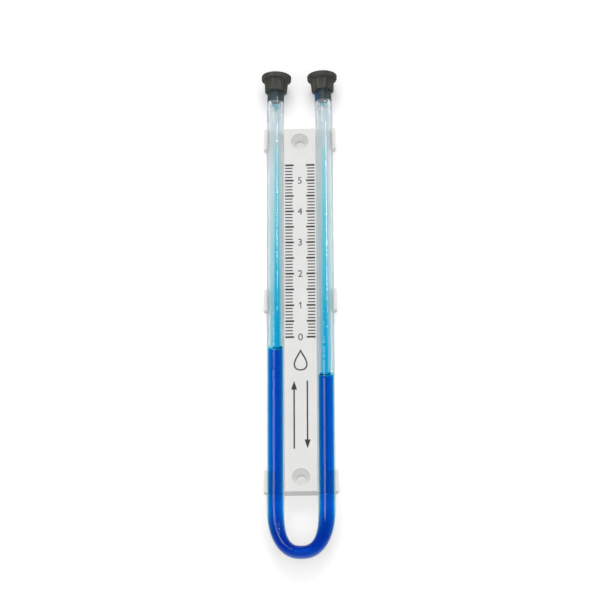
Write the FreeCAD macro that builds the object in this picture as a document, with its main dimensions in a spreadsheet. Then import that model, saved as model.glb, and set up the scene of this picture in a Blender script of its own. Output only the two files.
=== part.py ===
"""Wall-mounted U-tube manometer, in millimetres.

X runs to the right, Y into the wall and Z up along the tube. The back of the scale plate lies on the
wall at Y = 0 and the origin is midway between the two screw holes.
"""
import FreeCAD, Part
import math
import os

import Sketcher

doc = FreeCAD.newDocument("manometer")

# Driving dimensions, in millimetres and degrees
SIZES = {
    "tube_bore": 4.76,      # inside diameter of the tube
    "tube_wall": 1.59,      # wall of the tube
    "leg_pitch": 22.86,     # distance between the centres of the two legs
    "bend_start": 8.0,      # straight tube below the plate, before the bend
    "bend_drop": 19.6,      # height of the bend along the centre of the tube
    "bend_fullness": 2.4,   # 2 makes the bend an ellipse, more makes it squarer
    "bend_squash": 0.30,    # how far bending flattens the tube, as a fraction of its radius
    "bend_spread": 0.25,    # how far the flattened tube widens, as a fraction of its radius
    "free_curve": 13.0,     # gently curved tube above the plate, below the straight end in the cap
    "left_lean": 1.8,       # inward lean of the left tube end, in degrees
    "right_lean": 2.4,      # inward lean of the right tube end, in degrees
    "wall_gap": 0.1,        # clearance between the caps and the wall

    "plate_length": 176.0,  # length of the scale plate
    "tube_stand": 6.0,      # distance of the tube's centres from the wall
    "lip_front": 1.0,       # the face stands this far in front of the tube's centres
    "tube_fit": 0.1,        # clearance round the tube in its groove
    "face_wall": 1.8,       # thickness of the front face over the hollow back
    "side_wall": 1.4,       # wall between a groove and the hollow back
    "face_round": 0.4,      # rounding of the front face's edges
    "back_round": 1.5,      # rounding of the long back edges

    "hole_spacing": 162.6,  # distance between the two screw holes
    "screw_hole": 4.5,      # diameter of the screw holes
    "head_bore": 8.3,       # diameter of the recess for the screw head
    "head_recess": 1.2,     # straight part of that recess
    "head_angle": 82,       # full angle of the countersink, in degrees
    "boss_wall": 1.6,       # wall round the recess at the back

    "clip_length": 10.3,    # length of a clip along the tube
    "clip_wall": 1.15,      # wall of a clip outside the tube
    "clip_grip": 0.8,       # how far a clip reaches past the tube's centre
    "clip_round": 3.6,      # rounding of a clip's back corner
    "middle_clip": 3.1,     # height of the middle clips above the middle of the plate

    "end_wall": 1.6,        # wall at the plate's top and bottom ends
    "hollow_round": 0.8,    # rounding of the hollow's four corners
    "rib": 1.2,             # thickness of the cross ribs in the hollow back
    "rib_count": 6,         # number of cross ribs between the bosses

    "scale_unit": 15.375,   # one unit of the scale
    "scale_zero": -15.1,    # height of the zero tick
    "scale_margin": 0.6,    # bare strip between the ticks and the edge of the face
    "long_tick": 4.0,       # length of the whole and half unit ticks
    "short_tick": 3.45,     # length of the other ticks
    "bold_line": 0.84,      # line width of the whole and half unit ticks
    "thin_line": 0.52,      # line width of the other ticks
    "ink": 0.05,            # thickness of the printed ink

    "film": 0.05,           # gap between the oil and the bore
    "left_level": -21.5,    # bottom of the left meniscus
    "right_level": -34.6,   # bottom of the right meniscus
    "meniscus": 2.0,        # depth of a meniscus

    "flange": 14.0,         # diameter of a cap's flange
    "flange_depth": 2.5,    # thickness of the flange
    "flange_round": 0.8,    # rounding of the flange's rim
    "skirt": 11.1,          # diameter of the skirt under the flange
    "skirt_end": 10.3,      # diameter of the skirt at its lower end
    "skirt_depth": 5.7,     # length of the skirt
    "skirt_fit": 0.15,      # clearance between the skirt and the tube
    "end_gap": 0.2,         # clearance between the tube's end and the cap
    "plug_fit": 0.1,        # clearance between the plug and the bore
    "plug_reach": 5.2,      # the plug goes this far below the skirt
    "plug_round": 0.6,      # rounding of the plug's end
}
sheet = doc.addObject("Spreadsheet::Sheet", "Dimensions")
for row, (alias, value) in enumerate(SIZES.items(), 1):
    sheet.set(f"A{row}", alias)
    sheet.set(f"B{row}", str(value))
    sheet.setAlias(f"B{row}", alias)
doc.recompute()

# Sizes that several pieces share, as expressions of the driving dimensions
TUBE_R = "(Dimensions.tube_bore / 2 + Dimensions.tube_wall)"
HALF_PITCH = "(Dimensions.leg_pitch / 2)"
GROOVE_R = f"({TUBE_R} + Dimensions.tube_fit)"
TUBE_Y = "Dimensions.tube_stand"
PLATE_DEPTH = f"({TUBE_Y} + Dimensions.lip_front)"
PLATE_TOP = "(Dimensions.plate_length / 2)"
HEAD_R = "(Dimensions.head_bore / 2)"
BEND_TOP = f"(-{PLATE_TOP} - Dimensions.bend_start)"
LEG_FOOT = f"({BEND_TOP} + 0.75 * Dimensions.bend_start)"
STRAIGHT_END = "(Dimensions.skirt_depth + Dimensions.plug_reach)"
FORWARD = f"max(Dimensions.flange / 2 + Dimensions.wall_gap - {TUBE_Y}; 0)"
TICKS_PER_UNIT = 10
TICKS = 56

# An edge within this distance of the wanted radius or height is the one looked for
EDGE_MATCH = 0.01


# Sketch helpers

def origin_plane(body, role):
    """The plane of that role in the body's own origin"""
    for feature in body.Origin.OriginFeatures:
        if feature.Role == role:
            return feature


def sketch_on(body, name, role, offset=None):
    """An empty sketch on one of the body's origin planes, moved along it or off it"""
    sketch = body.newObject("Sketcher::SketchObject", name)
    sketch.AttachmentSupport = (origin_plane(body, role), [""])
    sketch.MapMode = "FlatFace"
    if offset:
        axis, expression = offset
        sketch.setExpression(f"AttachmentOffset.Base.{axis}", expression)
    return sketch


def place_point(sketch, index, position, x, y):
    """Ties one point of the sketch to its two coordinates, given as expressions"""
    for kind, expression, axis in (("DistanceX", x, -2), ("DistanceY", y, -1)):
        if expression == "0":
            sketch.addConstraint(Sketcher.Constraint("PointOnObject", index, position, axis))
            continue
        count = sketch.addConstraint(Sketcher.Constraint(kind, -1, 1, index, position, 1.0))
        sketch.setExpression(f"Constraints[{count}]", expression)


def closed_outline(sketch, points):
    """Straight lines through the points, each coordinate an expression"""
    count = len(points)
    for i in range(count):
        start = FreeCAD.Vector(math.cos(math.tau * i / count), math.sin(math.tau * i / count), 0)
        end = FreeCAD.Vector(math.cos(math.tau * (i + 1) / count), math.sin(math.tau * (i + 1) / count), 0)
        sketch.addGeometry(Part.LineSegment(start, end), False)
    for i in range(count):
        sketch.addConstraint(Sketcher.Constraint("Coincident", i, 2, (i + 1) % count, 1))
    for i, (x, y) in enumerate(points):
        place_point(sketch, i, 1, x, y)


def rectangle(sketch, left, right, bottom, top):
    """A rectangle between four coordinates, given as expressions"""
    closed_outline(sketch, [(left, bottom), (right, bottom), (right, top), (left, top)])


def circle(sketch, x, y, radius):
    """A circle whose centre and radius are expressions"""
    index = sketch.addGeometry(Part.Circle(FreeCAD.Vector(), FreeCAD.Vector(0, 0, 1), 1.0), False)
    place_point(sketch, index, 3, x, y)
    count = sketch.addConstraint(Sketcher.Constraint("Radius", index, 1.0))
    sketch.setExpression(f"Constraints[{count}]", radius)


def pad(body, name, sketch, length):
    """Material on both sides of the sketch, half the length each way"""
    feature = body.newObject("PartDesign::Pad", name)
    feature.Profile = sketch
    feature.SideType = "Symmetric"
    feature.setExpression("Length", length)
    sketch.Visibility = False
    return feature


def fillet(body, name, chosen, radius):
    """Rounds the edges of the body's present shape that the test picks"""
    doc.recompute()
    base = body.Tip
    edges = [f"Edge{i + 1}" for i, edge in enumerate(base.Shape.Edges) if chosen(edge)]
    feature = body.newObject("PartDesign::Fillet", name)
    feature.Base = (base, edges)
    feature.setExpression("Radius", radius)
    return feature


def pocket(body, name, sketch, length=None):
    """Cuts the sketch to one side by a length, or right through both ways"""
    feature = body.newObject("PartDesign::Pocket", name)
    feature.Profile = sketch
    if length:
        feature.setExpression("Length", length)
    else:
        feature.SideType = "Symmetric"
        feature.Type = "ThroughAll"
    sketch.Visibility = False
    return feature


def raised(body, name, sketch, length):
    """Material from the sketch forwards, by a length"""
    feature = body.newObject("PartDesign::Pad", name)
    feature.Profile = sketch
    feature.setExpression("Length", length)
    sketch.Visibility = False
    return feature


def repeated(body, name, kind, original):
    """The feature repeated; a mirror image lies across the middle of the body's length"""
    doc.recompute()
    feature = body.newObject(kind, name)
    feature.Originals = [original]
    if kind == "PartDesign::Mirrored":
        feature.MirrorPlane = (origin_plane(body, "XY_Plane"), [""])
    body.Tip = feature
    return feature


# Scale plate

def upright_edges(x, y):
    """A test for the edges along the plate at that side and that depth, on both sides alike"""
    def chosen(edge):
        middle = edge.CenterOfMass
        along = abs(edge.tangentAt(edge.FirstParameter).z) > 0.99
        return along and abs(abs(middle.x) - x) < EDGE_MATCH and abs(middle.y - y) < EDGE_MATCH
    return chosen


def upright_to_face(x, z):
    """A test for the short edges square to the face at that side and height, on all four corners alike"""
    def chosen(edge):
        middle = edge.CenterOfMass
        across = abs(edge.tangentAt(edge.FirstParameter).y) > 0.99
        return across and abs(abs(middle.x) - x) < EDGE_MATCH and abs(abs(middle.z) - z) < EDGE_MATCH
    return chosen


def round_face_edges(edge):
    """The outline of the front face"""
    shape = scale_plate.Tip.Shape
    front = min(shape.Faces, key=lambda face: face.CenterOfMass.y)
    return any(edge.isSame(other) for other in front.OuterWire.Edges)


scale_plate = doc.addObject("PartDesign::Body", "scale_plate")
core_sketch = sketch_on(scale_plate, "core_section", "XY_Plane")
rectangle(core_sketch, f"-{HALF_PITCH}", HALF_PITCH, f"-{PLATE_DEPTH}", "0")
core = pad(scale_plate, "core", core_sketch, "Dimensions.plate_length")

doc.recompute()
core_box = core.Shape.BoundBox
fillet(scale_plate, "back_edges", upright_edges(core_box.XMax, core_box.YMax), "Dimensions.back_round")

clip_half = f"({HALF_PITCH} + {GROOVE_R} + Dimensions.clip_wall)"
clip_front = f"({TUBE_Y} + Dimensions.clip_grip)"
clip_back = f"({TUBE_Y} - {GROOVE_R} - Dimensions.clip_wall)"
end_clip = f"({PLATE_TOP} - Dimensions.clip_length / 2)"
for place, height in (("top", end_clip), ("middle", "Dimensions.middle_clip"), ("bottom", f"-{end_clip}")):
    clip_sketch = sketch_on(scale_plate, f"{place}_clip_section", "XY_Plane", ("z", height))
    rectangle(clip_sketch, f"-{clip_half}", clip_half, f"-{clip_front}", f"-{clip_back}")
    clips = pad(scale_plate, f"{place}_clips", clip_sketch, "Dimensions.clip_length")
doc.recompute()
clip_box = clips.AddSubShape.BoundBox
fillet(scale_plate, "clip_corners", upright_edges(clip_box.XMax, clip_box.YMax), "Dimensions.clip_round")

groove_sketch = sketch_on(scale_plate, "groove_section", "XY_Plane")
for side in ("-", ""):
    circle(groove_sketch, f"{side}{HALF_PITCH}", f"-{TUBE_Y}", GROOVE_R)
pocket(scale_plate, "grooves", groove_sketch)
fillet(scale_plate, "face_edges", round_face_edges, "Dimensions.face_round")

# Hollow back, then its ribs and the bosses round the screws
cell_half = f"({HALF_PITCH} - {GROOVE_R} - Dimensions.side_wall)"
hollow_half = f"({PLATE_TOP} - Dimensions.end_wall)"
hollow_depth = f"({PLATE_DEPTH} - Dimensions.face_wall)"
hollow_sketch = sketch_on(scale_plate, "hollow_section", "XZ_Plane")
rectangle(hollow_sketch, f"-{cell_half}", cell_half, f"-{hollow_half}", hollow_half)
hollow = pocket(scale_plate, "hollow_back", hollow_sketch, hollow_depth)
hollow.Reversed = True
doc.recompute()
hollow_box = hollow.AddSubShape.BoundBox
hollow_corner = upright_to_face(hollow_box.XMax, hollow_box.ZMax)
fillet(scale_plate, "hollow_corners", hollow_corner, "Dimensions.hollow_round")

boss_sketch = sketch_on(scale_plate, "boss_section", "XZ_Plane")
circle(boss_sketch, "0", "Dimensions.hole_spacing / 2", f"({HEAD_R} + Dimensions.boss_wall)")
boss = raised(scale_plate, "boss", boss_sketch, hollow_depth)
repeated(scale_plate, "bosses", "PartDesign::Mirrored", boss)

boss_gap = f"(Dimensions.hole_spacing - 2 * ({HEAD_R} + Dimensions.boss_wall))"
rib_span = f"({boss_gap} / (Dimensions.rib_count + 1))"
rib_start = f"(({rib_span} * (Dimensions.rib_count - 1) + Dimensions.rib) / 2)"
rib_sketch = sketch_on(scale_plate, "rib_section", "XZ_Plane")
rectangle(rib_sketch, f"-{cell_half} - Dimensions.side_wall / 2", f"{cell_half} + Dimensions.side_wall / 2",
          f"-{rib_start}", f"-{rib_start} + Dimensions.rib")
rib = raised(scale_plate, "rib", rib_sketch, hollow_depth)
ribs = repeated(scale_plate, "ribs", "PartDesign::LinearPattern", rib)
ribs.Direction = (rib_sketch, ["V_Axis"])
ribs.Mode = "Spacing"
ribs.setExpression("Offset", rib_span)
ribs.setExpression("Occurrences", "Dimensions.rib_count")
doc.recompute()

# One countersunk hole turned about its own axis, and its twin at the other end
hole_sketch = sketch_on(scale_plate, "hole_section", "YZ_Plane", ("y", "Dimensions.hole_spacing / 2"))
hole_r = "Dimensions.screw_hole / 2"
cone_front = f"-({PLATE_DEPTH} - Dimensions.head_recess)"
cone_depth = f"({HEAD_R} - {hole_r}) / tan(Dimensions.head_angle / 2)"
closed_outline(hole_sketch, [
    ("1", "0"),
    ("1", hole_r),
    (f"{cone_front} + {cone_depth}", hole_r),
    (cone_front, HEAD_R),
    (f"-{PLATE_DEPTH} - 1", HEAD_R),
    (f"-{PLATE_DEPTH} - 1", "0"),
])
screw_hole = scale_plate.newObject("PartDesign::Groove", "screw_hole")
screw_hole.Profile = hole_sketch
screw_hole.ReferenceAxis = (hole_sketch, ["H_Axis"])
screw_hole.Angle = 360
hole_sketch.Visibility = False
repeated(scale_plate, "screw_holes", "PartDesign::Mirrored", screw_hole)


# Tube and oil: solids along the same U-shaped route, each inset from the outside of the tube

BEND_STEPS = 16
LEAD_STEPS = 3
FREE_STEPS = 4


def bend_section(name, step, inset):
    """One oval across the bend, square to the route, a step further round it"""
    angle = 180 * step / BEND_STEPS
    side = -1 if angle < 90 else 1
    power = "(2 / Dimensions.bend_fullness)"
    out = f"abs(cos({angle}))"
    down = f"abs(sin({angle}))"
    x = f"{side} * {HALF_PITCH} * {out}^{power}"
    z = f"{BEND_TOP} - Dimensions.bend_drop * {down}^{power}"
    normal_z = f"{down}^(2 - {power}) / Dimensions.bend_drop"
    normal_x = f"{-side} * {out}^(2 - {power}) / {HALF_PITCH}"
    section = doc.addObject("Part::Ellipse", name)
    section.setExpression("MajorRadius", f"{TUBE_R} * (1 + Dimensions.bend_spread * {down}) - {inset}")
    section.setExpression("MinorRadius", f"{TUBE_R} * (1 - Dimensions.bend_squash * {down}) - {inset}")
    turn = f"rotation(vector(0; 1; 0); 180 deg - atan2({normal_z}; {normal_x}))"
    section.setExpression("Placement", f"placement(vector({x}; -{TUBE_Y}; {z}); {turn} * "
                          "rotation(vector(0; 0; 1); 90))")
    section.Visibility = False
    return section


def lead_section(name, side, step, inset):
    """One ring on the straight stretch just above the bend"""
    ring = doc.addObject("Part::Ellipse", name)
    ring.setExpression("MajorRadius", f"{TUBE_R} - {inset}")
    ring.setExpression("MinorRadius", f"{TUBE_R} - {inset}")
    z = f"{LEG_FOOT} - ({LEG_FOOT} - {BEND_TOP}) * {step / LEAD_STEPS}"
    turn = f"rotation(vector(0; 1; 0); {90 - 90 * side}) * rotation(vector(0; 0; 1); 90)"
    ring.setExpression("Placement", f"placement(vector({side} * {HALF_PITCH}; -{TUBE_Y}; {z}); {turn})")
    ring.Visibility = False
    return ring


def bend(name, inset):
    """The flattened bend between the two legs, with a straight lead at each side of it"""
    loft = doc.addObject("Part::Loft", f"{name}_bend")
    sections = [lead_section(f"{name}_left_lead_{i}", -1, i, inset) for i in range(LEAD_STEPS)]
    sections += [bend_section(f"{name}_section_{i}", i, inset) for i in range(BEND_STEPS + 1)]
    sections += [lead_section(f"{name}_right_lead_{i}", 1, i, inset) for i in reversed(range(LEAD_STEPS))]
    loft.Sections = sections
    loft.Solid = True
    return loft


def leg(name, side, inset, top):
    """A straight leg from the bend up to a height"""
    cylinder = doc.addObject("Part::Cylinder", f"{name}_leg")
    cylinder.setExpression("Radius", f"{TUBE_R} - {inset}")
    cylinder.setExpression("Height", f"{top} - {LEG_FOOT}")
    cylinder.setExpression("Placement.Base.x", f"{side} * {HALF_PITCH}")
    cylinder.setExpression("Placement.Base.y", f"-{TUBE_Y}")
    cylinder.setExpression("Placement.Base.z", LEG_FOOT)
    return cylinder


def end_slope(side, lean):
    """The turn of a tube's straight end, leaning in at the top"""
    return f"rotation(vector(0; 1; 0); {-side} * {lean})"


def curve_top(side, lean):
    """Where the curved part of a free end stops and the straight part starts"""
    inward = f"Dimensions.free_curve * tan({lean}) / 2"
    x = f"{side} * ({HALF_PITCH} - {inward})"
    return f"vector({x}; -{TUBE_Y} - {FORWARD}; {PLATE_TOP} + Dimensions.free_curve)"


def free_section(name, side, inset, lean, step):
    """One ring of the free end, where it swings clear of the wall and leans in"""
    along = step / FREE_STEPS
    inward = f"Dimensions.free_curve * tan({lean}) / 2"
    x = f"{side} * ({HALF_PITCH} - {inward} * {along ** 2})"
    y = f"-{TUBE_Y} - {FORWARD} * {3 * along ** 2 - 2 * along ** 3}"
    z = f"{PLATE_TOP} + Dimensions.free_curve * {along}"
    lean_in = f"rotation(vector(0; 1; 0); {-side} * atan(tan({lean}) * {along}))"
    swing = f"atan({FORWARD} * {6 * along - 6 * along ** 2} / Dimensions.free_curve)"
    ring = doc.addObject("Part::Circle", name)
    ring.setExpression("Radius", f"{TUBE_R} - {inset}")
    ring.setExpression("Placement", f"placement(vector({x}; {y}; {z}); {lean_in} * "
                       f"rotation(vector(1; 0; 0); {swing}))")
    ring.Visibility = False
    return ring


def free_end(name, side, inset, lean):
    """The tube end above the plate: a gentle curve, then a straight length for the cap"""
    curve = doc.addObject("Part::Loft", f"{name}_curve")
    curve.Sections = [free_section(f"{name}_ring_{i}", side, inset, lean, i) for i in range(FREE_STEPS + 1)]
    curve.Solid = True
    straight = doc.addObject("Part::Cylinder", f"{name}_end")
    straight.setExpression("Radius", f"{TUBE_R} - {inset}")
    straight.setExpression("Height", STRAIGHT_END)
    straight.setExpression("Placement", f"placement({curve_top(side, lean)}; {end_slope(side, lean)})")
    return [curve, straight]


def joined(name, pieces):
    """Several solids made one"""
    whole = doc.addObject("Part::MultiFuse", name)
    whole.Shapes = pieces
    whole.Refine = True
    return whole


def tube_route(name, inset):
    """The whole route of the tube, from one open end to the other"""
    return joined(name, [
        bend(name, inset),
        leg(f"{name}_left", -1, inset, PLATE_TOP),
        leg(f"{name}_right", 1, inset, PLATE_TOP),
        *free_end(f"{name}_left", -1, inset, "Dimensions.left_lean"),
        *free_end(f"{name}_right", 1, inset, "Dimensions.right_lean"),
    ])


tube = doc.addObject("Part::Cut", "tube")
tube.Base = tube_route("tube_outside", "0")
tube.Tool = tube_route("tube_inside", "Dimensions.tube_wall")

oil_inset = "(Dimensions.tube_wall + Dimensions.film)"
oil_rim = f"({TUBE_R} - {oil_inset} - 2 * Dimensions.film)"
meniscus_r = f"(({oil_rim}^2 + Dimensions.meniscus^2) / (2 * Dimensions.meniscus))"
oil_pieces = [bend("oil", oil_inset)]
hollows = []
OIL_LEVELS = (("oil_left", -1, "Dimensions.left_level"), ("oil_right", 1, "Dimensions.right_level"))
for name, side, level in OIL_LEVELS:
    oil_pieces.append(leg(name, side, oil_inset, f"({level} + Dimensions.meniscus)"))
    hollow = doc.addObject("Part::Sphere", f"{name}_meniscus")
    hollow.setExpression("Radius", meniscus_r)
    hollow.setExpression("Placement.Base.x", f"{side} * {HALF_PITCH}")
    hollow.setExpression("Placement.Base.y", f"-{TUBE_Y}")
    hollow.setExpression("Placement.Base.z", f"{level} + {meniscus_r}")
    hollows.append(hollow)
menisci = doc.addObject("Part::MultiFuse", "oil_menisci")
menisci.Shapes = hollows
indicator_fluid = doc.addObject("Part::Cut", "indicator_fluid")
indicator_fluid.Base = joined("oil_column", oil_pieces)
indicator_fluid.Tool = menisci


# Caps

def make_cap(label, side, lean):
    """A rubber cap: flange, skirt over the tube's end and plug down its bore"""
    body = doc.addObject("PartDesign::Body", label)
    roof = "Dimensions.end_gap"
    top = f"({roof} + Dimensions.flange_depth)"
    skirt_foot = f"({roof} - Dimensions.skirt_depth)"
    plug_foot = f"({skirt_foot} - Dimensions.plug_reach)"
    inner = f"({TUBE_R} + Dimensions.skirt_fit)"
    plug_r = "(Dimensions.tube_bore / 2 - Dimensions.plug_fit)"
    section = sketch_on(body, f"{label}_section", "XZ_Plane")
    closed_outline(section, [
        ("0", top),
        ("Dimensions.flange / 2", top),
        ("Dimensions.flange / 2", roof),
        ("Dimensions.skirt / 2", roof),
        ("Dimensions.skirt_end / 2", skirt_foot),
        (inner, skirt_foot),
        (inner, roof),
        (plug_r, roof),
        (plug_r, plug_foot),
        ("0", plug_foot),
    ])
    turned = body.newObject("PartDesign::Revolution", f"{label}_turned")
    turned.Profile = section
    turned.ReferenceAxis = (section, ["V_Axis"])
    turned.Angle = 360
    section.Visibility = False
    doc.recompute()
    box = turned.Shape.BoundBox
    rim = box.XMax
    fillet(body, f"{label}_rim", lambda edge: is_ring(edge, rim), "Dimensions.flange_round")
    foot = box.ZMin
    fillet(body, f"{label}_plug_end", lambda edge: is_ring(edge, height=foot), "Dimensions.plug_round")
    along = f"placement(vector(0; 0; {STRAIGHT_END}); rotation(vector(0; 0; 1); 0))"
    body.setExpression("Placement", f"placement({curve_top(side, lean)}; {end_slope(side, lean)}) * {along}")
    return body


def is_ring(edge, radius=None, height=None):
    """A circular edge of that radius, or one at that height"""
    if edge.Curve.TypeId != "Part::GeomCircle":
        return False
    if radius is not None:
        return abs(edge.Curve.Radius - radius) < EDGE_MATCH
    return abs(edge.Curve.Center.z - height) < EDGE_MATCH


left_cap = make_cap("left_cap", -1, "Dimensions.left_lean")
right_cap = make_cap("right_cap", 1, "Dimensions.right_lean")


# Printed scale

def tick(side, step):
    """One printed line of the scale, its back on the plate's face"""
    bold = step % (TICKS_PER_UNIT // 2) == 0
    length = "Dimensions.long_tick" if bold else "Dimensions.short_tick"
    width = "Dimensions.bold_line" if bold else "Dimensions.thin_line"
    outer = f"({HALF_PITCH} - sqrt({GROOVE_R}^2 - Dimensions.lip_front^2) - Dimensions.scale_margin)"
    line = doc.addObject("Part::Box", f"{'left' if side < 0 else 'right'}_tick_{step}")
    line.setExpression("Length", length)
    line.setExpression("Width", "Dimensions.ink")
    line.setExpression("Height", width)
    line.setExpression("Placement.Base.x", f"-{outer}" if side < 0 else f"{outer} - {length}")
    line.setExpression("Placement.Base.y", f"-{PLATE_DEPTH} - Dimensions.ink")
    height = f"Dimensions.scale_zero + {step} * Dimensions.scale_unit / {TICKS_PER_UNIT}"
    line.setExpression("Placement.Base.z", f"{height} - {width} / 2")
    return line


scale_graduations = doc.addObject("Part::Compound", "scale_graduations")
scale_graduations.Links = [tick(side, step) for side in (-1, 1) for step in range(TICKS)]
doc.recompute()

# Every object is sound before anything is written
for item in doc.Objects:
    if "Invalid" in item.State or "Error" in item.State:
        raise RuntimeError(f"{item.Label} did not build")

os.makedirs("parts", exist_ok=True)
for part in (scale_plate, tube, indicator_fluid, left_cap, right_cap, scale_graduations):
    if part.Shape.isNull() or not part.Shape.isValid():
        raise RuntimeError(f"{part.Label} has no valid shape")
    part.Shape.exportStep(f"parts/{part.Label}.step")
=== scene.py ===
"""Looks of the wall-mounted U-tube manometer: materials, oil film, print, light and camera.

The scene is in metres in the part's own frame: +X right, +Y into the wall, +Z up. Sizes of the part, of
the oil and print on it, and the camera's place are named in millimetres, and MM turns them into metres.
The relief of the materials, the set and the lights are given in metres.
"""
import math

import bmesh
import bpy
from mathutils import Matrix, Vector, noise


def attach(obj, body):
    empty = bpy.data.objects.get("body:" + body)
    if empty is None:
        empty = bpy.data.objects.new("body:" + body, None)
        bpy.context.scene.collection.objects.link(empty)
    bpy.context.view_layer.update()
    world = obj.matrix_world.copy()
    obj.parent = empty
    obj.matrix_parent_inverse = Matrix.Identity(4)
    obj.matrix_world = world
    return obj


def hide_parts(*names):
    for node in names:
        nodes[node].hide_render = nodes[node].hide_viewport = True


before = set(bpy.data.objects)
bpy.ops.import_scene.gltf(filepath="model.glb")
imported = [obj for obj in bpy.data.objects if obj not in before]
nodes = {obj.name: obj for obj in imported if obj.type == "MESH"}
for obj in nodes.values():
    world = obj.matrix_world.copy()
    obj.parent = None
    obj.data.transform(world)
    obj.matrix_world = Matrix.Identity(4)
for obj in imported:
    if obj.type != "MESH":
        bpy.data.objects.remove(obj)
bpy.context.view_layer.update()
MM = 0.001

# Sizes repeated from the part's source, in millimetres and degrees
BORE_R = 4.76 / 2
TUBE_R = BORE_R + 1.59
HALF_PITCH = 22.86 / 2
TUBE_Y = -6.0
FACE_Y = -7.0
PLATE_TOP = 88.0
BEND_TOP = -PLATE_TOP - 8.0
BEND_DROP = 19.6
BEND_FULLNESS = 2.4
BEND_SQUASH = 0.30
BEND_SPREAD = 0.25
FREE_CURVE = 13.0
LEAN = {-1: 1.8, 1: 2.4}
LEVEL = {-1: -21.5, 1: -34.6}
MENISCUS = 2.0
SCALE_ZERO = -15.1
SCALE_UNIT = 15.375

# Sizes of the caps, repeated from the part's source
FLANGE_R = 7.0
FLANGE_DEPTH = 2.5
FLANGE_ROUND = 0.8
SKIRT_R = 11.1 / 2
SKIRT_END_R = 10.3 / 2
SKIRT_DEPTH = 5.7
SKIRT_BORE_R = TUBE_R + 0.15
END_GAP = 0.2
PLUG_REACH = 5.2
PLUG_ROUND = 0.6

# The tube's ends swing forward until the flanges clear the wall, and are straight inside the caps
WALL_GAP = 0.1
FORWARD = FLANGE_R + WALL_GAP + TUBE_Y
STRAIGHT_END = SKIRT_DEPTH + PLUG_REACH

# Rounding of the flange's upper edge, which only the scene has
RIM_ROUND = 0.45

# How far a plug presses into the tube's wall, and the distance that keeps the oil's mesh off the bore
PRESS = 0.04
OIL_SKIN = 0.03

# Distance that keeps a trace of oil off the bore and the plugs
TRACE_GAP = 0.02

# Points round each section of the tube and the oil
ROUND_STEPS = 64


# Helpers for meshes

def new_object(name, mesh, material):
    """A piece of the model that rides on the one body"""
    item = bpy.data.objects.new(name, mesh)
    bpy.context.scene.collection.objects.link(item)
    if material:
        item.data.materials.append(material)
    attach(item, "root")
    return item


def mesh_from(name, points, faces, smooth=True):
    """A mesh with its normals facing out, from points in millimetres"""
    mesh = bpy.data.meshes.new(name)
    mesh.from_pydata([Vector(p) * MM for p in points], [], faces)
    work = bmesh.new()
    work.from_mesh(mesh)
    bmesh.ops.recalc_face_normals(work, faces=work.faces)
    work.to_mesh(mesh)
    work.free()
    for face in mesh.polygons:
        face.use_smooth = smooth
    return mesh


def hide_from_light(item):
    """Takes a piece out of shadow and diffuse rays, so it darkens and colours nothing near it"""
    item.visible_shadow = False
    item.visible_diffuse = False


def tube_faces(rings, count, start=0):
    """Quads between rings of points that follow each other"""
    faces = []
    for row in range(rings - 1):
        for i in range(count):
            j = (i + 1) % count
            low = start + row * count
            faces.append((low + i, low + j, low + count + j, low + count + i))
    return faces


# Route of the tube: the centre of each ring, its outward and forward directions and its two half widths

def bend_station(angle):
    """One oval of the bend, at an angle of 0 to 180 degrees round it"""
    side = -1 if angle < 90 else 1
    power = 2 / BEND_FULLNESS
    out = abs(math.cos(math.radians(angle)))
    down = abs(math.sin(math.radians(angle)))
    centre = Vector((side * HALF_PITCH * out ** power, TUBE_Y, BEND_TOP - BEND_DROP * down ** power))
    rest = 2 - power
    outward = Vector((side * out ** rest / HALF_PITCH, 0, -down ** rest / BEND_DROP)).normalized()
    wide = 1 + BEND_SPREAD * down
    flat = 1 - BEND_SQUASH * down
    return centre, outward, Vector((0, -1, 0)), flat, wide


def leg_station(side, z):
    """One circle of a straight leg"""
    return Vector((side * HALF_PITCH, TUBE_Y, z)), Vector((side, 0, 0)), Vector((0, -1, 0)), 1, 1


def free_station(side, along):
    """One circle of the curved part of a free end, 0 at the plate and 1 at the straight end"""
    lean = math.tan(math.radians(LEAN[side]))
    x = side * (HALF_PITCH - FREE_CURVE * lean / 2 * along ** 2)
    y = TUBE_Y - FORWARD * (3 * along ** 2 - 2 * along ** 3)
    turn = Matrix.Rotation(-side * math.atan(lean * along), 3, "Y")
    swing = math.atan(FORWARD * (6 * along - 6 * along ** 2) / FREE_CURVE)
    turn = turn @ Matrix.Rotation(swing, 3, "X")
    centre = Vector((x, y, PLATE_TOP + FREE_CURVE * along))
    return centre, turn @ Vector((side, 0, 0)), turn @ Vector((0, -1, 0)), 1, 1


def end_frame(side):
    """Where the straight end of a tube starts, and the turn of its axis"""
    lean = math.radians(LEAN[side])
    x = side * (HALF_PITCH - FREE_CURVE * math.tan(lean) / 2)
    return Vector((x, TUBE_Y - FORWARD, PLATE_TOP + FREE_CURVE)), Matrix.Rotation(-side * lean, 3, "Y")


def end_station(side, along):
    """One circle of the straight end in the cap, a length in millimetres along it"""
    foot, turn = end_frame(side)
    return foot + turn @ Vector((0, 0, along)), turn @ Vector((side, 0, 0)), turn @ Vector((0, -1, 0)), 1, 1


def leg_above(side, z_low, steps=10):
    """The stations of one side from a height on the leg up to the tube's open end"""
    span = [leg_station(side, z_low + (PLATE_TOP - z_low) * i / steps) for i in range(steps)]
    span += [free_station(side, i / 12) for i in range(12)]
    span += [end_station(side, STRAIGHT_END * i / 4) for i in range(5)]
    return span


def below(left_z, right_z, steps=72):
    """The stations from a height on the left leg, round the bend, up to a height on the right leg"""
    span = [leg_station(-1, left_z + (BEND_TOP - left_z) * i / 6) for i in range(6)]
    span += [bend_station(180 * i / steps) for i in range(steps + 1)]
    span += [leg_station(1, BEND_TOP + (right_z - BEND_TOP) * i / 6) for i in range(1, 7)]
    return span


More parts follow.
